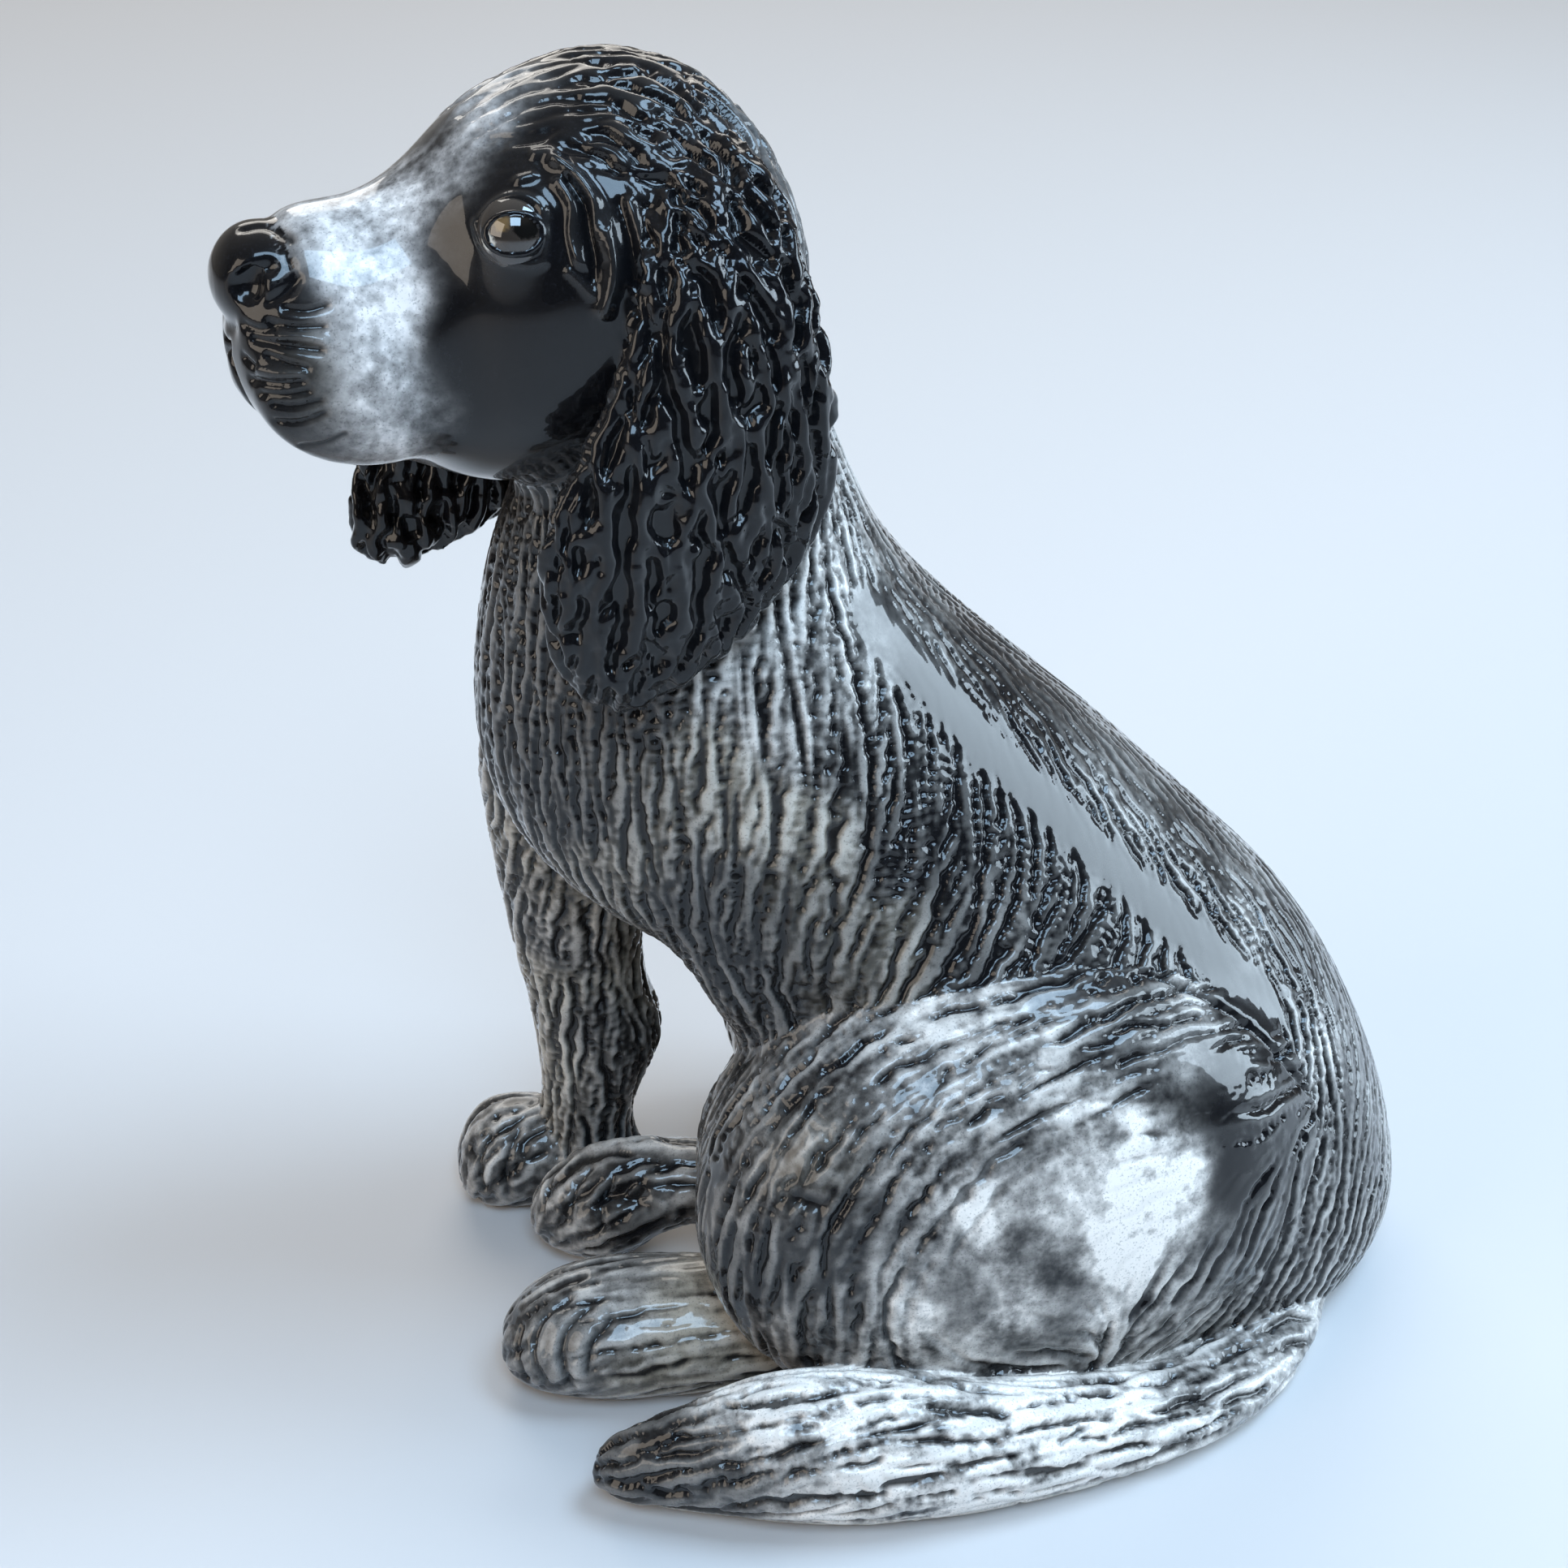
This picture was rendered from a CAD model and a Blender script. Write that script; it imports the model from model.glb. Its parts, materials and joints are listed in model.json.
import bpy
import bmesh
import json
import math
import numpy as np
from mathutils import Matrix, Vector
from mathutils.bvhtree import BVHTree
from mathutils.kdtree import KDTree

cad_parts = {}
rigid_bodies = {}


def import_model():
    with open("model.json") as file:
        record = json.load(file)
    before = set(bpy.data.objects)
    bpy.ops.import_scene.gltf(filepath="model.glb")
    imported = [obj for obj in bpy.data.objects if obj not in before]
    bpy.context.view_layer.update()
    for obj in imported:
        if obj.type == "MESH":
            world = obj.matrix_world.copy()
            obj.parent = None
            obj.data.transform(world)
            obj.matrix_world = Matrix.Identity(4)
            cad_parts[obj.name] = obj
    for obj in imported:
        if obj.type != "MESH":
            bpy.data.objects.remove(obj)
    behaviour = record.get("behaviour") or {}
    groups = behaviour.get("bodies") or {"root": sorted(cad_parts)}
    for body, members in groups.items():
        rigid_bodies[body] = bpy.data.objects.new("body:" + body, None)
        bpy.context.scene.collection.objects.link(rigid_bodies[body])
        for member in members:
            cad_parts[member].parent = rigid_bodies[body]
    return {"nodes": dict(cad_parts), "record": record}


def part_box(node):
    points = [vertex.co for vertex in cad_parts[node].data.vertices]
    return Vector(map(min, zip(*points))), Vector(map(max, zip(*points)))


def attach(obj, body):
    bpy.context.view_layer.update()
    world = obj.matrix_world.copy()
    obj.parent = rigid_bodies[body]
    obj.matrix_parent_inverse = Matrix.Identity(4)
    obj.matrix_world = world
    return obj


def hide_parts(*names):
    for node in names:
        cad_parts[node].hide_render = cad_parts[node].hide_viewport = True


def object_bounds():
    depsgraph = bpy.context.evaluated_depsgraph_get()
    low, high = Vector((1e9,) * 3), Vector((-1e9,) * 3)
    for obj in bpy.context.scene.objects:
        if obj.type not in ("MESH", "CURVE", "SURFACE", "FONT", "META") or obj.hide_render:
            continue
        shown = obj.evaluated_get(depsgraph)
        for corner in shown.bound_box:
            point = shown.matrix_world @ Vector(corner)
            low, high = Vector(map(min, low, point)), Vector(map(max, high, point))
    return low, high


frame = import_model()
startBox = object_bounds()
nodes = frame["nodes"]
mm = 0.001
weldAt = 1e-7
rng = np.random.default_rng(24)


def boxOf(name):
    low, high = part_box(name)
    return np.array(low) / mm, np.array(high) / mm


def unit(v):
    return v / np.maximum(np.linalg.norm(v, axis=-1, keepdims=True), 1e-9)


def ramp(x, low, high):
    t = np.clip((x - low) / (high - low), 0, 1)
    return t * t * (3 - 2 * t)


# camera, at the photograph's angle
look = {"at": (-72.1, -203.0, 170.3), "aim": (-29, 0, 60), "lens": 55.9, "focal": 3000, "centre": 966}
cameraData = bpy.data.cameras.new("camera")
cameraData.sensor_width = 36
cameraData.lens = look["lens"]
cameraData.clip_start = 0.01
camera = bpy.data.objects.new("camera", cameraData)
camera.location = Vector(look["at"]) * mm
camera.rotation_euler = (Vector(look["aim"]) - Vector(look["at"])).to_track_quat("-Z", "Y").to_euler()
bpy.context.scene.collection.objects.link(camera)
bpy.context.scene.camera = camera
bpy.context.view_layer.update()

trees = {}
for name, node in nodes.items():
    trees[name] = BVHTree.FromObject(node, bpy.context.evaluated_depsgraph_get())


def meshOf(name, work):
    mesh = bpy.data.meshes.new(name)
    work.to_mesh(mesh)
    work.free()
    return mesh


def placed(name, data):
    # a mesh or a lamp in an object of its own
    piece = bpy.data.objects.new(name, data)
    bpy.context.scene.collection.objects.link(piece)
    return piece


def joined(names, more=()):
    # copies of CAD nodes and other meshes as one mesh
    work = bmesh.new()
    for mesh in [nodes[name].data for name in names] + list(more):
        work.from_mesh(mesh)
    bmesh.ops.remove_doubles(work, verts=work.verts, dist=weldAt)
    return placed("joined", meshOf("joined", work))


def applied(piece, kind, **settings):
    # the mesh that a modifier makes of a piece, in its place
    modifier = piece.modifiers.new(kind, kind)
    for key, value in settings.items():
        setattr(modifier, key, value)
    made = bpy.data.meshes.new_from_object(piece.evaluated_get(bpy.context.evaluated_depsgraph_get()))
    piece.modifiers.clear()
    old = piece.data
    piece.data = made
    bpy.data.meshes.remove(old)
    return piece


def readPoints(mesh):
    co = np.empty(len(mesh.vertices) * 3, np.float32)
    mesh.vertices.foreach_get("co", co)
    return co.reshape(-1, 3).astype(float) / mm


def writePoints(mesh, co):
    mesh.vertices.foreach_set("co", (co * mm).astype(np.float32).ravel())
    mesh.update()


def readNormals(mesh):
    normal = np.empty(len(mesh.vertices) * 3, np.float32)
    mesh.vertex_normals.foreach_get("vector", normal)
    return normal.reshape(-1, 3).astype(float)


def readEdges(mesh):
    edges = np.empty(len(mesh.edges) * 2, np.int32)
    mesh.edges.foreach_get("vertices", edges)
    return edges.reshape(-1, 2)


def relax(values, edges, weight, times):
    # each value moves towards the mean of its neighbours
    weight = np.reshape(weight, (-1, 1))
    count = np.bincount(edges.ravel(), minlength=len(values))[:, None]
    for _ in range(times):
        total = np.stack([np.bincount(edges[:, 0], values[edges[:, 1], k], len(values))
                          + np.bincount(edges[:, 1], values[edges[:, 0], k], len(values))
                          for k in range(values.shape[1])], 1)
        values = values + weight * (total / count - values)
    return values


def distances(co, names, reach):
    # from each point to each node's surface, up to reach
    out = np.full((len(names), len(co)), float(reach))
    for row, name in enumerate(names):
        low, high = boxOf(name)
        near = np.flatnonzero(((co > low - reach) & (co < high + reach)).all(1))
        find = trees[name].find_nearest
        for index in near:
            hit = find(co[index] * mm, reach * mm)
            if hit[3] is not None:
                out[row, index] = hit[3] / mm
    return out


def largestIsland(piece):
    # drops the loose bits that the remesh leaves inside
    mesh = piece.data
    edges = readEdges(mesh)
    label = np.arange(len(mesh.vertices))
    while True:
        low = np.minimum(label[edges[:, 0]], label[edges[:, 1]])
        fresh = label.copy()
        np.minimum.at(fresh, edges[:, 0], low)
        np.minimum.at(fresh, edges[:, 1], low)
        fresh = fresh[fresh]
        if (fresh == label).all():
            break
        label = fresh
    kept = np.bincount(label).argmax()
    if (label == kept).all():
        return
    work = bmesh.new()
    work.from_mesh(mesh)
    work.verts.ensure_lookup_table()
    lost = [work.verts[i] for i in np.flatnonzero(label != kept)]
    bmesh.ops.delete(work, geom=lost, context="VERTS")
    work.to_mesh(mesh)
    work.free()


# skin, first level: the large members run into one another as the clay does
softness = {"torso_shell": 1.0, "left_foreleg": 1.0, "right_foreleg": 1.0, "head_shell": 0.8,
            "left_flew": 0.9, "right_flew": 0.9, "left_brow": 0.9, "right_brow": 0.9,
            "left_haunch": 0.15, "right_haunch": 0.15, "nose": 0.5, "left_eye": 0.6, "right_eye": 0.6,
            "left_ear": 0.12, "right_ear": 0.12, "left_forepaw": 0.5, "right_forepaw": 0.5,
            "left_hind_foot": 0.4, "right_hind_foot": 0.4, "tail": 0.3}
coarse = ["torso_shell", "head_shell", "left_flew", "right_flew", "left_brow", "right_brow",
          "left_foreleg", "right_foreleg", "left_haunch", "right_haunch", "left_eye", "right_eye"]
fine = ["nose", "left_ear", "right_ear", "left_forepaw", "right_forepaw",
        "left_hind_foot", "right_hind_foot", "tail"]

# the pour hole is stopped for the remesh, and cut free again at the end
bore = {"radius": 8, "deep": 5.1, "edge": 0.17, "plugRadius": 8.6, "plugHeight": 4.8}
plug = bmesh.new()
bmesh.ops.create_cone(plug, cap_ends=True, segments=48, radius1=bore["plugRadius"] * mm,
                      radius2=bore["plugRadius"] * mm, depth=bore["plugHeight"] * mm,
                      matrix=Matrix.Translation((0, 0, bore["plugHeight"] / 2 * mm)))
plugMesh = meshOf("plug", plug)


def seamWeight(co, names, reach):
    # how far each point gives way at the seam of its two nearest nodes, and the nearest one
    away = distances(co, names, reach)
    order = np.argsort(away, 0)
    columns = np.arange(len(co))
    soft = np.array([softness[name] for name in names])
    first, second = order[0], order[1]
    pair = np.minimum(soft[first], soft[second])
    haunchSeam = np.array(["haunch" in name or name == "tail" for name in names])
    back = ramp(co[:, 0], 0, 16) * (haunchSeam[first] | haunchSeam[second])
    pair = np.maximum(pair, 0.8 * back)
    return pair * (1 - ramp(away[second, columns], 0.15 * reach, reach)), first


def blended(piece, names, level):
    # the piece remeshed as one skin with soft seams; its points, edges and nearest nodes
    applied(piece, "REMESH", mode="VOXEL", voxel_size=level["voxel"] * mm, use_smooth_shade=True)
    largestIsland(piece)
    co, edges = readPoints(piece.data), readEdges(piece.data)
    weight, nearest = seamWeight(co, names, level["reach"])
    share, times = level["even"]
    co = relax(co, edges, share, times)
    share, times = level["seam"]
    co = relax(co, edges, share * weight, times)
    writePoints(piece.data, co)
    return co, edges, nearest


# voxel size, reach of a seam, and the share and number of the passes over all points and at the seams
bodyLevel = {"voxel": 0.8, "reach": 4.0, "even": (0.5, 2), "seam": (0.7, 40)}
skinLevel = {"voxel": 0.26, "reach": 2.0, "even": (0.45, 3), "seam": (0.6, 30)}
body = joined(coarse, [plugMesh])
blended(body, coarse, bodyLevel)
applied(body, "SUBSURF", levels=1, render_levels=1)
print("first level", len(body.data.vertices))

# skin, second level: with the ears, paws, tail and nose laid on
skin = joined(fine, [body.data])
bpy.data.objects.remove(body)
skin.name = "skin"
everyNode = coarse + fine
points, links, label = blended(skin, everyNode, skinLevel)
mesh = skin.data
normals = readNormals(mesh)
print("second level", len(points))

eyeCentre = {side: np.mean(boxOf(side + "_eye"), 0) for side in ("left", "right")}
headMiddle = (eyeCentre["left"] + eyeCentre["right"]) / 2
headAcross = unit((eyeCentre["right"] - eyeCentre["left"]) * (1, 1, 0))


def mirrored(p):
    # the same place on the other side of the head
    return p - 2 * ((p - headMiddle) @ headAcross)[..., None] * headAcross


skinTree = BVHTree.FromObject(skin, bpy.context.evaluated_depsgraph_get())
vertexTree = KDTree(len(points))
for index, point in enumerate(points):
    vertexTree.insert(point, index)
vertexTree.balance()


def onSkin(u, v):
    # where a point of the photograph lies on the skin
    turn = camera.matrix_world.to_3x3()
    ray = turn @ Vector(((u - look["centre"]) / look["focal"], -(v - look["centre"]) / look["focal"], -1))
    place = skinTree.ray_cast(camera.location, ray.normalized())[0]
    return None if place is None else np.array(place) / mm


# headings of the carved fur: place and heading, where strokes picked by eye in the photograph meet the solids
flow = {
    "torso": [
        (-16, 7, 80, .62, .09, -.78), (-28, -7, 81, -.40, -.44, -.80), (-31, -9, 77, -.13, -.29, -.95),
        (-24, -8, 76, .33, -.29, -.90), (-22, -11, 66, -.18, -.39, -.90), (-11, -12, 58, .11, -.45, -.89),
        (-18, -15, 53, -.52, -.29, -.80), (-30, -14, 59, -.55, -.08, -.83), (-34, -12, 67, .02, -.19, -.98),
        (-30, -14, 47, -.06, .25, -.97), (-15, -17, 48, -.69, -.24, -.68), (-5, -18, 47, -.77, -.55, -.34),
        (0, -20, 44, -.71, -.69, -.13), (-16, 0, 77, .48, -.35, -.80), (-6, 5, 70, .61, -.45, -.65),
        (-1, -2, 63, .41, -.59, -.70), (4, -6, 56, .46, -.48, -.75), (9, -4, 54, .51, -.48, -.71),
        (14, -11, 45, .42, -.55, -.72), (19, -9, 42, .41, -.56, -.72), (24, -13, 33, -.09, -.72, -.69),
        (28, -11, 29, -.02, -.68, -.73), (22, -20, 24, -.29, -.50, -.81), (16, -24, 13, -.37, -.07, -.92),
        (-55, 7, 83, -.24, -.22, -.95), (-53, 2, 84, -.16, -.17, -.97), (-56, 4, 73, -.15, .02, -.99),
        (-54, -1, 64, .09, -.06, -.99), (-46, -8, 64, .04, -.07, -1), (-39, -11, 66, -.25, -.05, -.97),
        (-36, -12, 45, .29, .01, -.96)],
    "foreleg": [
        (-51, 6, 45, .10, .55, -.83), (-50, 13, 31, -.07, .17, -.98), (-46, 3, 42, 0, .65, -.76),
        (-50, 15, 17, -.12, .14, -.98), (-46, 14, 18, -.02, .09, -1), (-36, -12, 45, .29, .01, -.96)],
    "haunch": [
        (-19, -20, 45, -.98, .13, -.18), (-31, -17, 40, -.78, -.27, -.56), (-36, -10, 34, -.56, 0, -.83),
        (-31, -22, 38, -.69, -.33, -.65), (-23, -24, 41, -.89, -.17, -.43), (-13, -28, 39, -.96, -.15, -.24),
        (-5, -28, 38, -.97, -.19, -.14), (-21, -29, 35, -.67, -.20, -.71), (-25, -29, 33, -.54, -.18, -.82),
        (-38, -22, 31, -.41, -.30, -.86), (-37, -27, 27, -.12, -.24, -.96), (-30, -29, 29, -.36, -.14, -.92),
        (-34, -29, 18, -.05, .15, -.99), (-31, -31, 17, .11, -.13, -.98), (-14, -31, 10, .97, .02, -.25),
        (3, -23, 41, -.92, -.39, .05), (11, -24, 36, -.89, -.38, .25), (6, -28, 9, -.71, -.08, -.70),
        (13, -26, 18, -.26, -.01, -.97)],
    "ear": [
        (-44, -2, 125, .68, -.62, -.38), (-39, -5, 123, .51, -.62, -.59), (-34, -6, 121, .33, -.70, -.64),
        (-34, -13, 113, .34, -.24, -.91), (-30, -12, 107, .19, -.06, -.98), (-39, -14, 108, -.13, -.16, -.98),
        (-43, -15, 101, -.24, -.05, -.97), (-37, -15, 102, 0, 0, -1), (-33, -13, 98, -.06, .06, -1),
        (-41, -15, 92, -.14, .06, -.99), (-48, -15, 91, -.22, .06, -.97), (-49, -14, 85, .11, .10, -.99),
        (-51, -14, 90, -.11, .07, -.99), (-39, -14, 88, -.19, .09, -.98), (-46, -12, 104, -.26, -.47, -.84)],
    "head": [
        (-56, 3, 124, .82, -.05, .56), (-51, -1, 125, .89, .18, .42), (-47, -2, 125, .98, .01, .19),
        (-54, -3, 122, .87, -.21, .44), (-46, -7, 121, .85, -.40, -.34), (-44, -9, 118, .27, -.51, -.82),
        (-44, -2, 125, .68, -.62, -.38), (-39, -5, 123, .51, -.62, -.59), (-34, -6, 121, .33, -.70, -.64),
        (-34, -13, 113, .34, -.24, -.91), (-30, -10, 107, .19, -.06, -.98),
        (-74, -6, 108, .30, -.37, -.88), (-71, -7, 108, .41, -.31, -.86), (-68, -7, 106, .36, -.11, -.93),
        (-66, -7, 101, .57, .23, -.79), (-70, -2, 116, .99, -.06, .10), (-61, -3, 117, .93, -.12, .35),
        (-61, -6, 106, -.08, -.09, -.99)],
    "tail": [
        (13, -29, 6, -.90, -.43, .09), (-6, -37, 8, -.96, -.19, .19), (-22, -36, 13, -.97, .08, .23),
        (-39, -36, 12, -.94, .11, -.34), (-46, -35, 9, -.87, .39, -.31), (-29, -40, 9, -.97, .03, -.26),
        (-9, -39, 7, -.97, -.24, -.04)],
    "foot": [
        (-52, -12, 12, -.98, .02, -.20), (-56, -15, 9, -.76, -.17, -.63), (-55, -17, 6, -.84, .37, -.39),
        (-44, -15, 12, -.98, .17, .03), (-46, -18, 10, -1, .02, -.09)],
    "paw": [
        (-57, 19, 11, -.86, -.36, -.36), (-56, 15, 8, -.84, -.11, -.53), (-44, 11, 12, -.76, .58, -.30),
        (-51, 8, 10, -.78, -.26, -.57), (-60, 16, 6, -.32, 0, -.95)]}

# how pale the pigment is, judged by eye: place, where a point picked in the photograph meets the solids,
# 0 black to 1 white, and 1 where it is warm
dabs = {
    "torso": [
        (-23, 2, 92, .5, 0), (-21, 2, 85, .55, 0), (-17, 1, 79, .35, 0), (-29, -7, 84, .7, 0),
        (-33, -9, 80, .75, 0), (-37, -10, 77, .65, 0), (-32, -10, 74, .5, 0), (-25, -9, 75, .5, 0),
        (-38, -11, 68, .6, 1), (-29, -13, 62, .5, 1), (-23, -11, 69, .3, 0), (-17, -8, 69, .08, 0),
        (-19, -13, 60, .05, 0), (-12, -11, 60, .04, 0), (-9, -14, 54, .05, 0), (-21, -16, 51, .45, 1),
        (-11, -15, 52, .35, 0), (-5, -16, 48, .07, 0), (-30, -15, 49, .15, 1), (-34, -14, 54, .15, 1),
        (-9, 2, 71, .15, 0), (-6, -4, 65, .04, 0), (-1, 2, 65, .25, 0), (2, -1, 60, .45, 0),
        (5, -5, 56, .45, 0), (3, -9, 54, .12, 0), (10, -6, 50, .3, 0), (11, -10, 47, .12, 0),
        (17, -8, 44, .6, 0), (21, -10, 40, .12, 0), (27, -6, 36, .5, 0), (22, -15, 34, .65, 0),
        (18, -17, 36, .1, 0), (31, -9, 27, .5, 0), (25, -18, 26, .3, 0), (21, -22, 19, .35, 0),
        (-54, 5, 83, .12, 0), (-56, 6, 74, .15, 0), (-54, -1, 73, .3, 0), (-56, 3, 65, .1, 0),
        (-50, -5, 70, .12, 0), (-45, -8, 72, .1, 0), (-41, -10, 67, .35, 1), (-48, -7, 65, .15, 0),
        (-54, 0, 59, .25, 0), (-44, -10, 59, .5, 1), (-48, -6, 56, .35, 1), (-40, -11, 57, .12, 0)],
    "foreleg": [
        (-46, 12, 40, .45, 1), (-49, 12, 37, .25, 0), (-42, 15, 31, .5, 1), (-51, 14, 30, .4, 1),
        (-47, 13, 26, .2, 0), (-50, 15, 20, .4, 1), (-46, 14, 19, .15, 0), (-40, -10, 51, .05, 0),
        (-37, -12, 46, .1, 0)],
    "haunch": [
        (-15, -20, 45, .6, 0), (-23, -19, 44, .5, 0), (-31, -16, 40, .4, 0), (-36, -15, 36, .35, 0),
        (-27, -22, 41, .5, 0), (-33, -21, 38, .25, 0), (-11, -25, 43, .6, 0), (-29, -26, 38, .3, 0),
        (-39, -21, 32, .3, 0), (-31, -26, 35, .12, 0), (-23, -28, 37, .55, 0), (-5, -28, 37, .65, 0),
        (2, -29, 32, .95, 0), (-36, -27, 29, .3, 0), (-32, -28, 31, .12, 0), (-21, -30, 32, .5, 0),
        (-15, -30, 33, .4, 0), (-8, -31, 30, .6, 0), (-3, -31, 23, .95, 0), (3, -30, 22, .65, 0),
        (-11, -32, 25, .45, 0), (-20, -32, 25, .35, 0), (-26, -31, 25, .6, 0), (-30, -30, 27, .15, 0),
        (-33, -30, 23, .2, 0), (-24, -31, 18, .85, 0), (-18, -32, 20, .25, 0), (-15, -32, 23, .6, 0),
        (-10, -32, 15, .3, 0), (-3, -31, 16, .6, 0), (4, -29, 13, .4, 0), (8, -29, 21, .2, 0),
        (10, -27, 28, .03, 0), (7, -26, 35, .05, 0), (4, -25, 39, .4, 0), (-6, -22, 44, .15, 0),
        (-33, -30, 17, .3, 0), (-19, -31, 11, .5, 0), (1, -27, 5, .3, 0), (14, -27, 19, .12, 0)],
    "tail": [
        (15, -28, 6, .4, 0), (5, -33, 7, .4, 0), (-3, -37, 8, .6, 0), (-11, -40, 8, .85, 0),
        (-19, -39, 11, .65, 0), (-26, -37, 14, .55, 0), (-32, -35, 15, .8, 0), (-38, -34, 14, .85, 0),
        (-42, -35, 12, .3, 0), (-47, -34, 9, .07, 0), (-51, -32, 6, .05, 0), (-43, -37, 7, .12, 0),
        (-36, -39, 9, .4, 0), (-27, -41, 6, .8, 0), (-18, -41, 4, .9, 0)],
    "foot": [
        (-54, -12, 12, .5, 0), (-48, -12, 12, .5, 0), (-43, -16, 11, .85, 1), (-57, -14, 10, .25, 0),
        (-53, -17, 9, .3, 0), (-48, -18, 10, .35, 0), (-44, -20, 7, .55, 1)],
    "paw": [
        (-57, 17, 10, .4, 0), (-54, 19, 12, .5, 0), (-59, 16, 7, .3, 0), (-54, 15, 7, .3, 0),
        (-45, 15, 9, .6, 0), (-39, 9, 13, .55, 0), (-50, 10, 11, .45, 0), (-51, 5, 8, .35, 0),
        (-40, 3, 12, .3, 0), (-46, 3, 11, .05, 0)],
    "head": [
        (-68, -1, 117, .6, 0), (-64, -1, 118, .8, 0), (-61, -2, 117, .75, 0), (-57, -2, 120, .5, 0),
        (-59, 1, 121, .6, 0), (-55, -1, 123, .45, 0), (-50, 2, 127, .15, 0), (-53, 4, 126, .55, 0),
        (-70, -6, 99, .05, 0), (-67, -7, 99, .3, 0), (-72, -6, 102, .05, 0),
        (-46, 2, 128, .03, 0), (-66, -4, 115, .8, 0), (-70, -3, 115, .4, 0), (-65, -5, 112, .9, 0),
        (-62, -5, 112, .8, 0), (-65, -7, 108, .8, 0), (-63, -7, 105, .75, 0), (-68, -7, 109, .4, 0),
        (-67, -7, 104, .6, 0), (-64, -6, 100, .8, 0), (-61, -6, 100, .4, 0), (-70, -7, 105, .15, 0),
        (-73, -6, 110, .04, 0), (-72, -7, 106, .04, 0), (-75, -2, 113, .01, 0), (-58, -7, 108, 0, 0),
        (-53, -9, 109, 0, 0), (-49, -10, 113, 0, 0), (-55, -6, 99, 0, 0), (-58, -5, 116, .01, 0),
        (-53, -6, 121, .01, 0), (-48, -3, 125, 0, 0), (-59, -6, 105, .03, 0)],
    "ear": [(-40, -14, 100, 0, 0), (-46, -15, 80, .02, 0), (-33, -10, 118, 0, 0)]}

groupOf = {"torso_shell": "torso", "head_shell": "head", "nose": "ear", "tail": "tail"}
for side in ("left_", "right_"):
    groupOf.update({side + "eye": "head", side + "brow": "head", side + "flew": "head", side + "ear": "ear",
                    side + "foreleg": "foreleg", side + "forepaw": "paw", side + "haunch": "haunch",
                    side + "hind_foot": "foot"})
pairBoxes = {"haunch": "haunch", "ear": "ear", "foot": "hind_foot"}


def farSide(name, table):
    # the same marks on the side that the photograph doesn't show
    table = np.array(table, float)
    spot = table[:, :3]
    swap = table.copy()
    if groupOf[name] in pairBoxes:
        kind = pairBoxes[groupOf[name]]
        lowA, highA = boxOf("left_" + kind)
        lowB, highB = boxOf("right_" + kind)
        share = (spot - lowA) / (highA - lowA)
        share[:, 1] = 1 - share[:, 1]
        swap[:, :3] = lowB + share * (highB - lowB)
    elif groupOf[name] == "head":
        swap[:, :3] = mirrored(spot)
    else:
        # the body's middle lies further to its right higher up
        swap[:, 1] = 18 * ramp(spot[:, 2], 0, 62) - spot[:, 1]
    if table.shape[1] == 6:
        swap[:, 4] = -swap[:, 4]
    return swap


def spread(values, table, group, names, size):
    # values at the vertices of some nodes from the marks near them
    chosen = np.flatnonzero(np.isin(label, [everyNode.index(n) for n in names]))
    spots = np.array(table[group], float)
    if all(n.startswith("right_") and group in pairBoxes for n in names):
        spots = farSide(names[0], spots)
    elif group in ("torso", "head"):
        spots = np.concatenate([spots, farSide(names[0], spots)])
    for part in np.array_split(chosen, max(1, len(chosen) // 20000)):
        gap = ((points[part][:, None, :] - spots[None, :, :3]) ** 2).sum(2)
        share = np.exp(-gap / (2 * size * size)) + 1e-9 / (1 + gap)
        share /= share.sum(1, keepdims=True)
        values[part] = share @ spots[:, 3:]
    return values


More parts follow.
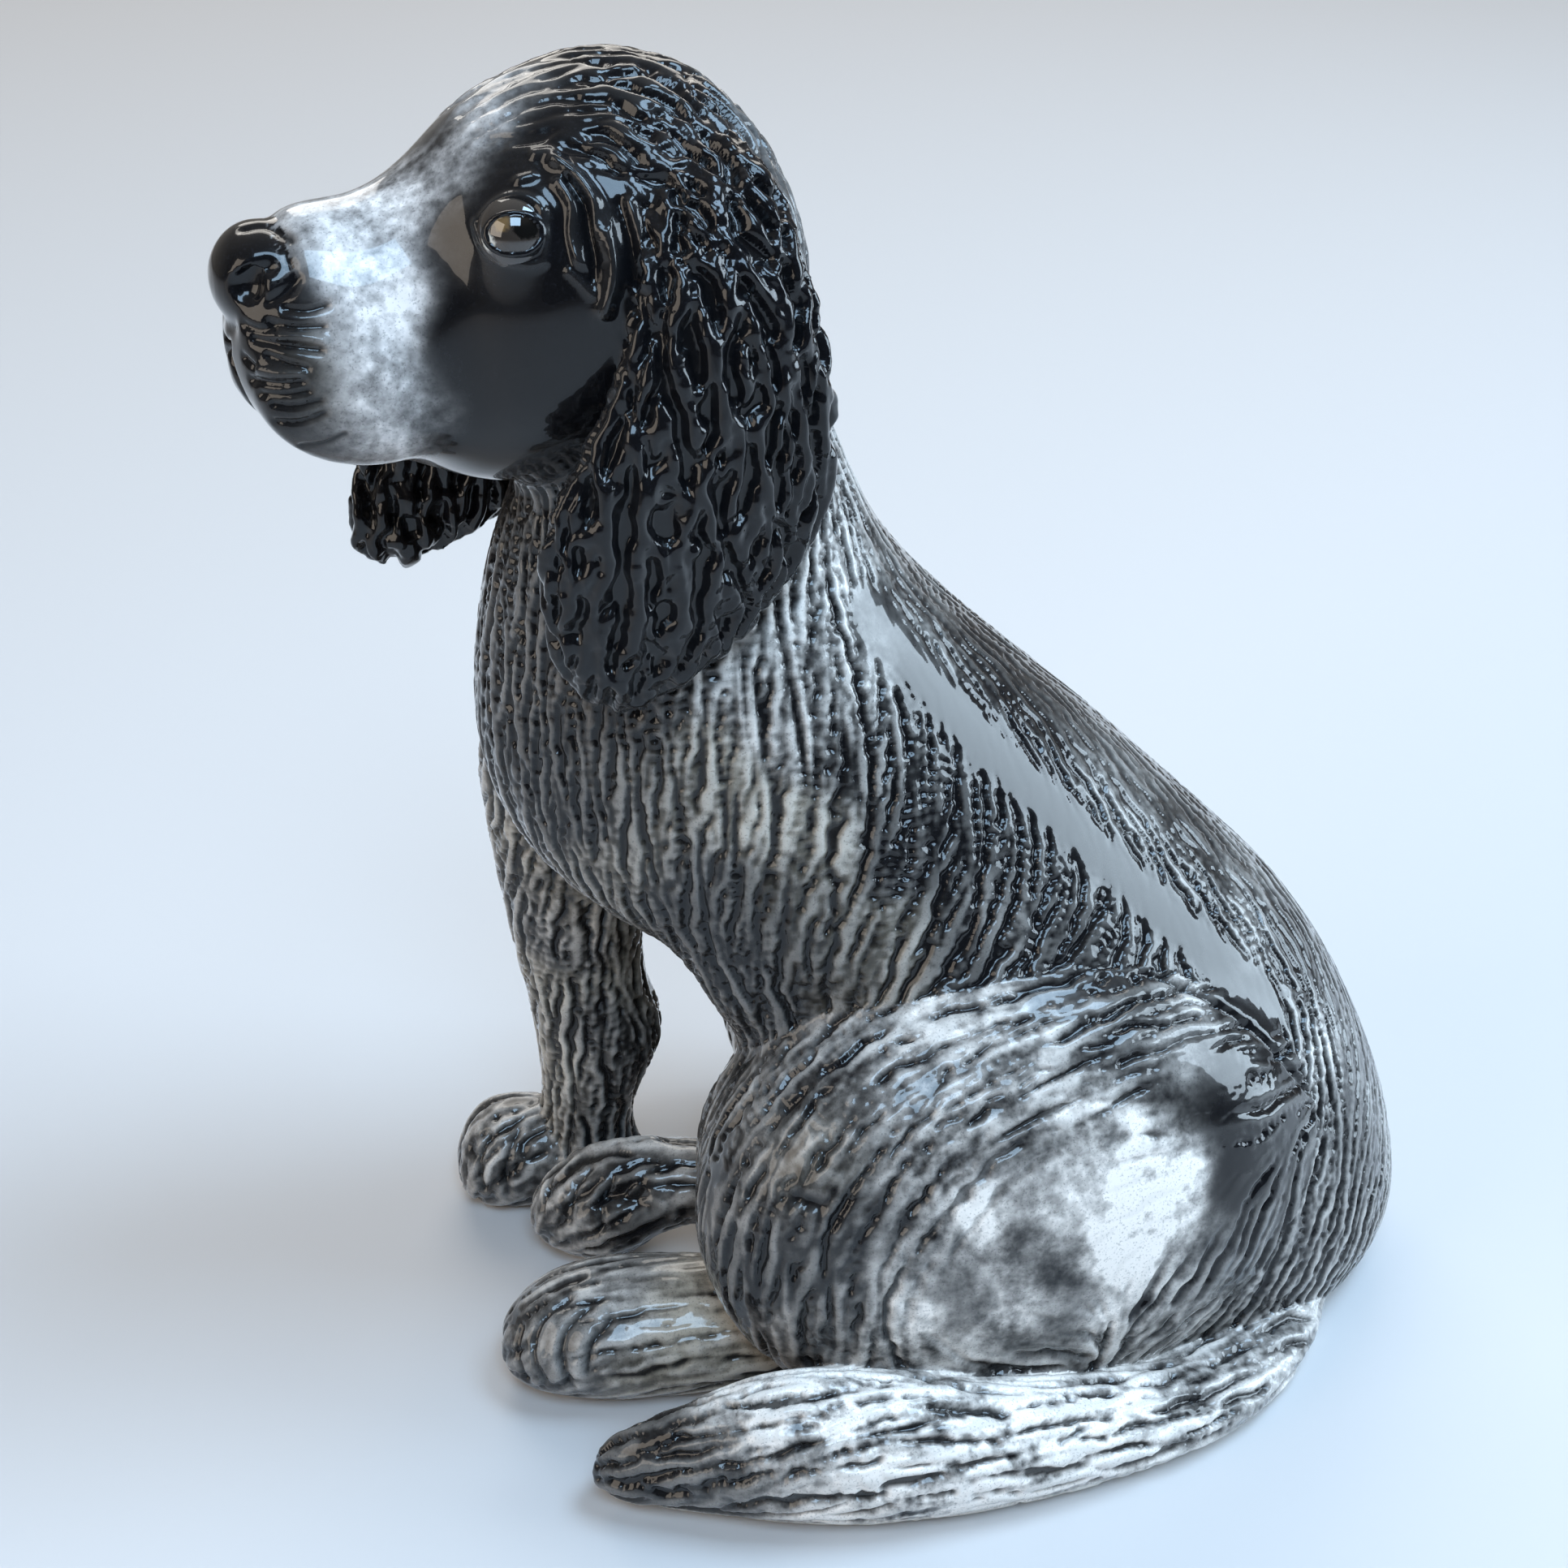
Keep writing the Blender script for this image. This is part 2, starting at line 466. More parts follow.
# more dabs, put down by eye at points of the photograph
seen = {
    "head": [
        (280, 400, .02, 0), (284, 450, .02, 0), (300, 505, .02, 0), (328, 545, .03, 0), (300, 440, .03, 0),
        (320, 490, .03, 0), (345, 530, .04, 0), (385, 565, .1, 0), (300, 385, .03, 0), (340, 400, .04, 0),
        (372, 440, .05, 1), (352, 360, .04, 0), (388, 490, .15, 1), (395, 540, .3, 0), (415, 420, .5, 0),
        (440, 480, .65, 0), (450, 545, .7, 0), (500, 565, .65, 0), (480, 430, .6, 0), (520, 500, .55, 0),
        (565, 450, 0, 0), (556, 545, .02, 0), (560, 380, 0, 0), (550, 320, .15, 0), (470, 238, .75, 0),
        (520, 225, .6, 0), (560, 195, .6, 0), (600, 150, .5, 0), (645, 112, .35, 0), (530, 168, .2, 0),
        (625, 205, .03, 0), (575, 262, .02, 0), (685, 140, .03, 0), (740, 110, .03, 0), (700, 400, 0, 0),
        (620, 520, 0, 0)],
    "torso": [
        (700, 1000, .08, 0), (660, 900, .1, 0), (760, 960, .3, 1), (720, 1100, .25, 1), (640, 840, .12, 0),
        (890, 1000, .5, 1), (960, 900, .6, 0), (1050, 950, .12, 0), (1120, 1050, .04, 0), (1000, 1100, .3, 1),
        (1180, 1160, .05, 0), (1060, 1190, .35, 1), (860, 1120, .08, 0), (920, 1190, .08, 0),
        (1330, 1180, .04, 0), (1230, 880, .03, 0), (1290, 950, .03, 0), (1150, 760, .35, 0)],
    "haunch": [
        (900, 1440, .15, 0), (960, 1420, .3, 0), (1010, 1420, .65, 1), (985, 1440, .5, 1),
        (1000, 1530, .15, 0), (940, 1560, .12, 0), (1060, 1500, .2, 0), (1090, 1390, .35, 0),
        (1200, 1490, .85, 0), (1290, 1500, .5, 0), (1180, 1560, .4, 0), (1240, 1620, .8, 0),
        (1330, 1600, .35, 0), (1400, 1530, .95, 0), (1100, 1640, .85, 0), (1050, 1600, .3, 0),
        (1450, 1440, 1, 0), (1480, 1380, .05, 0), (1540, 1340, .03, 0), (1530, 1430, .03, 0),
        (1400, 1300, .1, 0), (1290, 1300, .4, 0), (1180, 1330, .5, 0), (1500, 1560, .15, 0)],
    "foot": [
        (700, 1620, .15, 0), (660, 1660, .15, 0), (830, 1625, 1, 1), (760, 1600, .45, 0), (800, 1690, .4, 1)]}
for name, spots in seen.items():
    for u, v, shade, warmth in spots:
        place = onSkin(u, v)
        if place is not None:
            dabs[name].append((*place, shade, warmth))

# how far a mark is felt
flowReach = 7.0
paintReach = {"head": 1.7, "else": 2.2}
heading = np.zeros((len(points), 3))
paint = np.zeros((len(points), 2))
# the pieces of a team share their marks
teams = {}
for name in everyNode:
    group = groupOf[name]
    key = (group, name.split("_")[0] if group in pairBoxes and name != "nose" else "both")
    teams.setdefault(key, []).append(name)
for (group, side), names in teams.items():
    spread(heading, flow, group, names, flowReach)
    spread(paint, dabs, group, names, paintReach.get(group, paintReach["else"]))
heading -= (heading * normals).sum(1, keepdims=True) * normals
heading = unit(heading)
heading = unit(relax(heading, links, 0.5, 12))
print("flow and paint")

# where the carving is shallow: place, radius, what is left of the depth
calm = [(-8, -31, 26, 12, .04), (-16, -31, 20, 8.5, .08), (4, -29, 27, 8.5, .04), (6, -26, 36, 6.5, .05),
        (-44, -12, 12, 5, .3), (-16, 3, 80, 9, .4), (-8, 3, 72, 9, .35), (0, 3, 65, 10, .3),
        (9, 2, 57, 10, .3), (18, 0, 49, 10, .35), (26, -4, 40, 10, .35), (31, -8, 30, 9, .4),
        (28, -14, 22, 8, .5)]
# the smooth strip down the side of the back
strip = np.array([(-21, -4.5, 79), (-15, -6, 72), (-10, -8, 66), (0, -11, 56), (10, -14, 46), (16, -16, 39)])
for a, b in zip(strip[:-1], strip[1:]):
    calm += [(*(a + (b - a) * t), 3.9, .02) for t in (0, .2, .4, .6, .8, 1)]
# field, depth of the cuts, height of the ridges, where a cut begins, waviness, strength of the pale paint
carving = {"torso": ("thin", .36, .14, .15, .35, .78), "foreleg": ("thin", .38, .16, .1, .4, 1.02),
           "haunch": ("plain", .50, .12, .55, .3, .98), "ear": ("lock", .80, .55, .1, .45, 1),
           "head": ("lock", .55, .40, .1, .3, 1.1), "tail": ("plain", .52, .20, .3, .3, 1.38),
           "foot": ("plain", .30, .10, .55, .3, 1), "paw": ("plain", .34, .16, .35, .4, 1)}
groups = list(carving)
vertexGroup = np.array([groups.index(groupOf[name]) for name in everyNode])[label]


def inGroup(name):
    return vertexGroup == groups.index(name)


swing, strength = (np.array([row[k] for row in carving.values()])[vertexGroup] for k in (4, 5))
# darker at the knee, the chest, the belly and the rump
knee = 0.26 * ramp(-points[:, 0], 19, 28)
chest = ramp(-points[:, 0], 35, 43)
belly = ramp(62 - points[:, 2], 0, 8) * ramp(-points[:, 0], 0, 10)
rump = 0.14 * ramp(points[:, 0], 2, 12)
paint[:, 0] *= strength
paint[:, 0] *= 1 - knee * inGroup("haunch")
paint[:, 0] *= 1 - np.maximum(0.38 * np.maximum(chest, belly), rump) * inGroup("torso")
paint[:, 0] = np.clip(paint[:, 0], 0, 1)

depthShare = np.ones(len(points))
for x, y, z, radius, left in calm:
    far = np.linalg.norm(points - (x, y, z), axis=1)
    depthShare = np.minimum(depthShare, left + (1 - left) * ramp(far, 0.55 * radius, 1.25 * radius))
# the head is carved on its crown and behind, but not at the brow rolls
inHead = inGroup("head")
headSide = points.copy()
farHead = (points - headMiddle) @ headAcross > 0
headSide[farHead] = mirrored(points[farHead])
crown = ramp(headSide[:, 2] + 0.55 * (headSide[:, 0] + 50), 118.5, 122)
crown = crown * (0.35 + 0.65 * ramp(headSide[:, 0], -49, -42))
behind = ramp(headSide[:, 0], -46, -41)
browSpot = onSkin(705, 300)
offBrow = ramp(np.linalg.norm(headSide - browSpot, axis=1), 5.2, 7.0)
depthShare[inHead] = (np.maximum(crown, behind) * offBrow)[inHead]
isNose = label == everyNode.index("nose")
onFoot = points[:, 2] < 0.6
depthShare[isNose | onFoot] = 0

# carving: noise drawn out along the flow, which waves a little
find = vertexTree.find
step = 0.5
wave = np.sin(points @ (0.9, 0.4, 1.1)) * np.sin(points @ (-0.5, 1.2, 0.7) + 2)
turn = (swing * wave)[:, None]
way = np.cos(turn) * heading + np.sin(turn) * np.cross(normals, heading)
ahead = np.array([find(p)[1] for p in points + step * way])
behindIt = np.array([find(p)[1] for p in points - step * way])
print("neighbours along the flow")


def drawnOut(width, passes):
    # noise some times as long as it is wide, with the slow part taken off
    scale = 1
    noise = relax(rng.normal(0, 1, (len(points), 1)), links, 0.5, max(1, round(width * scale)))
    forward, backward = ahead, behindIt
    for _ in range(passes):
        noise = (noise + noise[forward] + noise[backward]) / 3
        noise = relax(noise, links, 0.5, 1)
        forward, backward = forward[forward], backward[backward]
    slow = relax(noise, links, 0.7, max(6, round((3 * width + 14) * scale)))
    noise = relax(noise - slow, links, 0.5, 2)[:, 0]
    return noise / noise.std()


fields = {"thin": drawnOut(1, 3), "plain": drawnOut(5, 3), "lock": drawnOut(8, 2)}
print("fields", len(points))
push, groove, ridge = (np.zeros(len(points)) for _ in range(3))
for name, (field, deep, high, level, _, _) in carving.items():
    here = inGroup(name)
    noise = fields[field][here]
    cut = ramp(-noise, level, level + 1.0)
    crest = ramp(noise, -0.2, 1.4)
    if field == "lock":
        crest = np.tanh(np.maximum(noise, 0) * 0.8)
    push[here] = (high * crest - deep * cut) * depthShare[here]
    groove[here] = cut * (0.05 + 0.95 * depthShare[here])
    ridge[here] = crest * depthShare[here]
tone = np.clip(0.5 + 0.25 * drawnOut(16, 3), 0, 1)

# creases and rolls drawn on the photograph's near side: line, half width, height (below zero a groove)
marks = {
    "lowerLid": ([(585, 274), (595, 307), (619, 322), (652, 328), (670, 322)], .36, .3),
    "upperLid": ([(594, 266), (612, 246), (640, 238), (664, 248), (676, 268)], .36, .3),
    "outerLid": ([(668, 260), (678, 290), (672, 312)], .32, .35),
    "innerBrow": ([(688, 226), (706, 250), (714, 286), (716, 322)], .5, .75),
    "outerBrow": ([(684, 200), (716, 222), (740, 262), (752, 300), (757, 340), (745, 382)], .62, .95),
    "browGap": ([(700, 222), (724, 256), (733, 300), (732, 345)], .35, -.5),
    "browBack": ([(775, 250), (792, 300), (800, 350)], .5, .6),
    "browBackGap": ([(764, 250), (778, 300), (782, 350)], .35, -.4),
    "smallRidge": ([(700, 334), (716, 348), (730, 364)], .3, .3),
    "curlA": ([(640, 222), (655, 217)], .5, .5),
    "curlB": ([(660, 192), (677, 190)], .5, .5),
    "nostril": ([(330, 328), (314, 334)], .75, -.75),
    "noseFold": ([(366, 345), (350, 362), (330, 372)], .4, -.3),
    "noseTop": ([(300, 282), (330, 276), (358, 296)], .45, -.35),
    "lipA": ([(312, 418), (350, 426), (395, 431)], .34, -.5),
    "lipB": ([(309, 468), (340, 474), (372, 471)], .34, -.5),
    "lipC": ([(329, 438), (352, 448), (378, 455)], .3, -.4),
    "lipD": ([(330, 396), (360, 404), (398, 402)], .3, -.4),
    "lipE": ([(335, 498), (362, 502), (395, 494)], .3, -.4),
    "lipF": ([(300, 440), (312, 452)], .3, -.4),
    "lipG": ([(300, 400), (318, 408), (336, 404)], .34, -.45),
    "lipH": ([(352, 380), (378, 384), (402, 376)], .32, -.4),
    "lipI": ([(345, 415), (372, 414), (400, 420)], .28, .35),
    "lipJ": ([(318, 455), (345, 461), (372, 459)], .28, .35),
    "lipK": ([(320, 485), (350, 488), (380, 482)], .3, -.45),
    "lipL": ([(340, 520), (370, 522), (400, 510)], .32, -.4),
    "chinA": ([(372, 550), (400, 548), (425, 536)], .32, -.3),
    "mouth": ([(268, 392), (280, 430), (292, 470), (312, 505), (340, 535)], .4, -.7),
    "flankFold": ([(1431, 1204), (1495, 1232), (1559, 1277), (1613, 1344)], .45, -.6),
    "pawToeA": ([(700, 1430), (674, 1455), (668, 1492)], .42, -.55),
    "pawToeB": ([(728, 1440), (704, 1468), (702, 1505)], .42, -.55),
    "pawToeC": ([(755, 1452), (738, 1480), (742, 1515)], .4, -.45),
    "rightToeA": ([(604, 1396), (588, 1430), (594, 1466)], .42, -.55),
    "rightToeB": ([(640, 1392), (622, 1430), (626, 1472)], .42, -.5),
    "footToeA": ([(702, 1600), (668, 1625), (655, 1665), (672, 1702)], .42, -.55),
    "footToeB": ([(728, 1612), (696, 1640), (690, 1675), (706, 1708)], .42, -.5),
    "footToeC": ([(642, 1636), (634, 1668), (648, 1700)], .4, -.45),
    "footToeD": ([(754, 1628), (728, 1655), (724, 1690)], .36, -.4),
    "footBulgeA": ([(682, 1625), (660, 1662), (664, 1700)], 1.0, .4),
    "footBulgeB": ([(712, 1620), (684, 1655), (688, 1700)], 1.0, .35),
    "footBulgeC": ([(740, 1625), (712, 1660), (710, 1705)], 1.0, .3),
    "pawKnuckle": ([(700, 1425), (740, 1412), (800, 1404)], 1.1, .45),
    "pawHollow": ([(752, 1475), (785, 1478)], 1.3, -.9),
    "dimple": ([(984, 1478), (1006, 1484)], .9, -.45)}
bothSides = ("lowerLid", "upperLid", "outerLid", "innerBrow", "outerBrow", "browGap", "smallRidge", "curlA",
             "curlB", "nostril", "noseFold", "lipA", "lipB", "lipC", "lipD", "lipE", "lipG", "lipH",
             "lipI", "lipJ", "lipK", "lipL", "browBack", "browBackGap", "mouth")


def stamp(line, wide, high):
    # a round-backed groove or ridge along a line
    low, top = line.min(0) - 4 * wide, line.max(0) + 4 * wide
    near = np.flatnonzero(((points > low) & (points < top)).all(1))
    best = np.full(len(near), 99.0)
    for a, b in zip(line[:-1], line[1:]):
        way = b - a
        t = np.clip(((points[near] - a) @ way) / max(way @ way, 1e-9), 0, 1)
        best = np.minimum(best, np.linalg.norm(points[near] - a - t[:, None] * way, axis=1))
    shape = np.exp(-(best / wide) ** 2)
    push[near] += high * shape
    if high < 0:
        groove[near] = np.maximum(groove[near], shape)
    else:
        ridge[near] = np.maximum(ridge[near], shape)


def rounded(line):
    # the corners cut twice
    for _ in range(2):
        line = np.array(line, float)
        a, b = 0.75 * line[:-1] + 0.25 * line[1:], 0.25 * line[:-1] + 0.75 * line[1:]
        line = np.concatenate([line[:1], np.stack([a, b], 1).reshape(-1, 2), line[-1:]])
    return line


for name, (pixels, wide, high) in marks.items():
    pixels = rounded(pixels)
    line = [p for p in (onSkin(u, v) for u, v in pixels) if p is not None]
    if len(line) < 2:
        print("no line for", name)
        continue
    line = np.array(line)
    stamp(line, wide, high)
    if name in bothSides:
        stamp(mirrored(line), wide, high)

# hair-fine streaks
blaze = ramp(headSide[:, 2] + 0.3 * (headSide[:, 0] + 60), 118.2, 120.2)
hairShare = np.where(inHead, np.maximum(depthShare, blaze), np.sqrt(depthShare)) * ~isNose
hair = 0.5 + np.clip(0.26 * fields["thin"], -0.5, 0.5) * hairShare
tone = 0.5 + (tone - 0.5) * hairShare

# eyes: the lids rise over the ball round an almond opening
opening = {"radius": 3.3, "at": (633, 288), "wide": 1.95, "high": 1.4, "lid": .26, "sunk": .85, "around": 8}
push = relax(push[:, None], links, 0.3, 1)[:, 0]
points = points + normals * push[:, None]
for side, centre in eyeCentre.items():
    middleSpot = onSkin(*opening["at"])
    if side == "right":
        middleSpot = mirrored(middleSpot)
    facing = unit(middleSpot - centre)
    level = unit(np.cross(facing, (0, 0, 1.0)))
    upward = np.cross(level, facing)
    near = np.flatnonzero(np.linalg.norm(points - centre, axis=1) < opening["around"])
    way = unit(points[near] - centre)
    reach = np.linalg.norm(points[near] - centre, axis=1)
    # ring is 1 at the edge of the opening
    flat = way * opening["radius"]
    ring = np.sqrt((flat @ level / opening["wide"]) ** 2 + (flat @ upward / opening["high"]) ** 2)
    rim = ramp(way @ facing, 0.0, 0.25) * (1 - ramp(ring, 1.15, 1.75))
    inside = ramp(1.06 - ring, 0, 0.12)
    lid, under = opening["radius"] + opening["lid"], opening["radius"] - opening["sunk"]
    target = lid * (1 - inside) + under * inside
    points[near] = centre + way * (reach + rim * (target - reach))[:, None]

# flat underneath, round at the pour hole and nowhere outside the solids' box
points[:, 2] = np.maximum(points[:, 2], 0)
fromAxis = np.hypot(points[:, 0], points[:, 1])
onRim = (points[:, 2] < 0.5) & (abs(fromAxis - bore["radius"]) < bore["edge"])
points[onRim, :2] *= (bore["radius"] / fromAxis[onRim])[:, None]
low, high = np.array(startBox[0]) / mm, np.array(startBox[1]) / mm
points = np.clip(points, low, high)
writePoints(mesh, points)
print("carved")

# attributes for the glaze
normals = readNormals(mesh)
bare = ramp(-normals[:, 2], 0.75, 0.95) * (points[:, 2] < 0.8)
underTail = (label == everyNode.index("tail")) & (points[:, 1] < -20)
bare[underTail] = np.maximum(bare[underTail], (ramp(-normals[:, 2], 0.1, 0.5)
                                               * (1 - ramp(points[:, 2], 1.2, 2.4)))[underTail])
for name, values in {"pale": paint[:, 0], "warm": paint[:, 1], "groove": groove, "ridge": ridge,
                     "tone": tone, "hair": hair, "bare": bare}.items():
    layer = mesh.attributes.new(name, "FLOAT", "POINT")
    layer.data.foreach_set("value", np.ascontiguousarray(values, dtype=np.float32))
layer = mesh.attributes.new("smooth_normal", "FLOAT_VECTOR", "POINT")
layer.data.foreach_set("vector", normals.astype(np.float32).ravel())


class Wire:
    # a shader socket that sums and products can be written with
    def __init__(self, tree, socket=None):
        self.tree = tree
        self.socket = socket

    def add(self, kind, settings, inputs, output=0):
        made = self.tree.nodes.new(kind)
        for key, value in settings.items():
            setattr(made, key, value)
        for key, value in inputs.items():
            if isinstance(value, Wire):
                self.tree.links.new(value.socket, made.inputs[key])
            else:
                made.inputs[key].default_value = value
        return Wire(self.tree, made.outputs[output])

    def math(self, operation, *values, clamp=False):
        settings = {"operation": operation, "use_clamp": clamp}
        return self.add("ShaderNodeMath", settings, dict(enumerate(values)))

    def __add__(self, other):
        return self.math("ADD", self, other)

    def __radd__(self, other):
        return self.math("ADD", other, self)

    def __sub__(self, other):
        return self.math("SUBTRACT", self, other)

    def __rsub__(self, other):
        return self.math("SUBTRACT", other, self)

    def __mul__(self, other):
        return self.math("MULTIPLY", self, other)

    def __rmul__(self, other):
        return self.math("MULTIPLY", other, self)

    def __pow__(self, other):
        return self.math("POWER", self, other)

    def clamped(self):
        return self.math("ADD", self, 0.0, clamp=True)

    def between(self, low, high):
        return self.add("ShaderNodeMapRange", {"interpolation_type": "SMOOTHSTEP"},
                        {"Value": self, "From Min": low, "From Max": high})

    def attribute(self, name):
        return self.add("ShaderNodeAttribute", {"attribute_name": name}, {}, "Fac")

    def noise(self, place, scale, detail=3.0, rough=0.55):
        return self.add("ShaderNodeTexNoise", {}, {"Vector": place, "Scale": scale, "Detail": detail,
                                                   "Roughness": rough})

    def mix(self, share, a, b):
        return self.add("ShaderNodeMix", {"data_type": "RGBA"}, {0: share, 6: a, 7: b}, 2)

    def into(self, target):
        self.tree.links.new(self.socket, target)


def colour(r, g, b):
    return (r, g, b, 1.0)


def freshMaterial(name, settings):
    material = bpy.data.materials.new(name)
    material.use_nodes = True
    shader = material.node_tree.nodes["Principled BSDF"]
    for key, value in settings.items():
        shader.inputs[key].default_value = value
    return material, shader.inputs, Wire(material.node_tree)


def glaze(name, light, blotch, ridgeShare, streak):
    material, inputs, wire = freshMaterial(name, {"IOR": 1.5, "Specular IOR Level": 0.12, "Coat IOR": 1.36,
                                                  "Coat Roughness": 0.03})
    place = wire.add("ShaderNodeTexCoord", {}, {}, "Object")
    pale, warm, bare = wire.attribute("pale"), wire.attribute("warm"), wire.attribute("bare")
    groove, ridge, tone = wire.attribute("groove"), wire.attribute("ridge"), wire.attribute("tone")
    hair = wire.attribute("hair")
    cloud = wire.noise(place, 210.0, 4.0)
    fine = wire.noise(place, 900.0, 3.0)
    speck = wire.noise(place, 4200.0, 2.0)
    amount = pale * (1 + (cloud - 0.5) * 2.6 * blotch + (fine - 0.5) * 1.2 + (tone - 0.5) * 1.1 * streak
                     + (hair - 0.5) * 1.5 * streak)
    amount = amount.clamped()
    # pigment, paler ridges, warm patches, dark specks, black cuts, bare clay
    shade = wire.mix(amount ** 1.9, colour(0.005, 0.005, 0.006), light)
    shade = wire.mix((ridge * ridgeShare * (amount * 1.2 + 0.1)).clamped(), shade, colour(0.70, 0.655, 0.61))
    shade = wire.mix((warm * amount * 0.6).clamped(), shade, colour(0.38, 0.32, 0.22))
    shade = wire.mix((speck.between(0.54, 0.7) * 0.35).clamped(), shade, colour(0.02, 0.02, 0.025))
    shade = wire.mix((groove * 0.93).clamped(), shade, colour(0.006, 0.006, 0.007))
    shade = wire.mix((bare + (fine - 0.5) * bare).clamped(), shade, colour(0.66, 0.62, 0.56))
    shade.into(inputs["Base Color"])
    ripple = wire.noise(place, 420.0, 2.0)
    bump = wire.add("ShaderNodeBump", {}, {"Strength": 0.2, "Distance": 0.0001, "Height": ripple})
    bump.into(inputs["Normal"])
    (bare * 0.6 + 0.2).into(inputs["Roughness"])
    (1 - bare).into(inputs["Coat Weight"])
    return material


# palest colour, how blotchy, how pale the ridges are, how streaky
looks = {"roan_glaze": (colour(0.60, 0.56, 0.52), .8, .9, .45),
         "pale_roan_glaze": (colour(0.90, 0.835, 0.775), 1.5, .75, .4),
         "head_glaze": (colour(0.92, 0.87, 0.84), .7, .15, .25),
         "black_glaze": (colour(0.3, 0.3, 0.32), .1, .0, .05)}
materials = {slot: glaze(slot, *values) for slot, values in looks.items()}
slotOf = {row["node"]: row["material_slot"] for row in frame["record"]["subparts"]}

# the skin is parted where the clay members meet, and the torso across as well, into smaller meshes
owner = np.array([everyNode.index("head_shell") if "eye" in name else i for i, name in enumerate(everyNode)])
label = owner[label]
partNames = everyNode + ["torso_front", "torso_back", "pour_hole", "torso_rump"]
corner = np.empty(len(mesh.loops), np.int32)
mesh.loops.foreach_get("vertex_index", corner)
start = np.empty(len(mesh.polygons), np.int32)
mesh.polygons.foreach_get("loop_start", start)
faceLabel = label[corner[start]]
along = points[corner[start], 0]
torsoFaces = faceLabel == everyNode.index("torso_shell")
faceLabel[torsoFaces & (along < -28)] = partNames.index("torso_front")
for name, plane in {"torso_back": -9, "torso_rump": 12}.items():
    faceLabel[torsoFaces & (along >= plane)] = partNames.index(name)
fromAxis = np.where(points[:, 2] < 0.5, np.hypot(points[:, 0], points[:, 1]), 99.0)
inHole = np.maximum.reduceat(fromAxis[corner], start) < bore["radius"] + 0.01
faceLabel[inHole] = partNames.index("pour_hole")
markers = [bpy.data.materials.new("part_" + name) for name in partNames]
for marker in markers:
    mesh.materials.append(marker)
mesh.polygons.foreach_set("material_index", faceLabel.astype(np.int32))
bpy.context.view_layer.objects.active = skin
for other in bpy.context.selected_objects:
    other.select_set(False)
skin.select_set(True)
before = set(bpy.data.objects)
bpy.ops.object.mode_set(mode="EDIT")
bpy.ops.mesh.select_all(action="SELECT")
bpy.ops.mesh.separate(type="MATERIAL")
bpy.ops.object.mode_set(mode="OBJECT")
for piece in [skin] + [o for o in bpy.data.objects if o not in before]:
    if not len(piece.data.polygons):
        bpy.data.objects.remove(piece)
        continue
    index = piece.data.polygons[0].material_index
    name = piece.material_slots[index].material.name.removeprefix("part_")
    if name == "pour_hole":
        bpy.data.objects.remove(piece)
        continue
    smooth = np.empty(len(piece.data.vertices) * 3, np.float32)
    piece.data.attributes["smooth_normal"].data.foreach_get("vector", smooth)
    piece.data.materials.clear()
    node = "torso_shell" if name.startswith("torso") else name
    piece.data.materials.append(materials[slotOf[node]])
    piece.data.polygons.foreach_set("material_index", np.zeros(len(piece.data.polygons), np.int32))
    piece.data.polygons.foreach_set("use_smooth", np.ones(len(piece.data.polygons), bool))
    piece.data.normals_split_custom_set_from_vertices(smooth.reshape(-1, 3))
    piece.name = ("torso_middle" if name == "torso_shell" else name) + "_glazed"
    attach(piece, "root")
    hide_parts(node)
    print(piece.name, len(piece.data.polygons))
for marker in markers:
    bpy.data.materials.remove(marker)

# the hollow inside the torso, bare clay, seen through the pour hole
hollow = bmesh.new()
hollow.from_mesh(nodes["torso_shell"].data)
bmesh.ops.remove_doubles(hollow, verts=hollow.verts, dist=weldAt)
outside = []
outsideDepth = 2.2 * mm
for face in hollow.faces:
    middle = face.calc_center_median()
    inBore = math.hypot(middle.x, middle.y) < (bore["radius"] + 0.2) * mm and middle.z < bore["deep"] * mm
    if not inBore and skinTree.find_nearest(middle)[3] < outsideDepth:
        outside.append(face)
bmesh.ops.delete(hollow, geom=outside, context="FACES")
hollowMesh = meshOf("torso_hollow", hollow)
hollowMesh.polygons.foreach_set("use_smooth", np.ones(len(hollowMesh.polygons), bool))
hollowPiece = placed("torso_hollow", hollowMesh)
clay, inputs, wire = freshMaterial("bare_clay", {"Roughness": 0.85})
grain = wire.noise(wire.add("ShaderNodeTexCoord", {}, {}, "Object"), 700.0, 4.0)
clayShade = wire.mix(grain.between(0.3, 0.7), colour(0.60, 0.55, 0.48), colour(0.70, 0.66, 0.60))
clayShade.into(inputs["Base Color"])
hollowMesh.materials.append(clay)
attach(hollowPiece, "root")
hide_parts("torso_shell")


# eyes: a dark ball with a white and amber inner corner, in the lids
def eyeMaterial(name, pupil, corner, amber):
    material, inputs, wire = freshMaterial(name, {"Roughness": 0.05, "Coat Weight": 1.0,
                                                  "Coat Roughness": 0.02})
    place = wire.add("ShaderNodeTexCoord", {}, {}, "Object")
    wobble = wire.noise(place, 2500.0, 2.0) - 0.5

    def near(spot, inner, outer):
        away = wire.add("ShaderNodeVectorMath", {"operation": "DISTANCE"}, {0: place, 1: spot}, "Value")
        return 1 - (away + wobble * 0.0007).between(inner, outer)

    shade = wire.mix(near(amber, 0.0004, 0.0009), colour(0.035, 0.028, 0.024), colour(0.16, 0.10, 0.045))
    shade = wire.mix(near(corner, 0.0004, 0.0009), shade, colour(0.74, 0.71, 0.64))
    shade = wire.mix(near(pupil, 0.0010, 0.0013), shade, colour(0.004, 0.004, 0.004))
    shade.into(inputs["Base Color"])
    return material


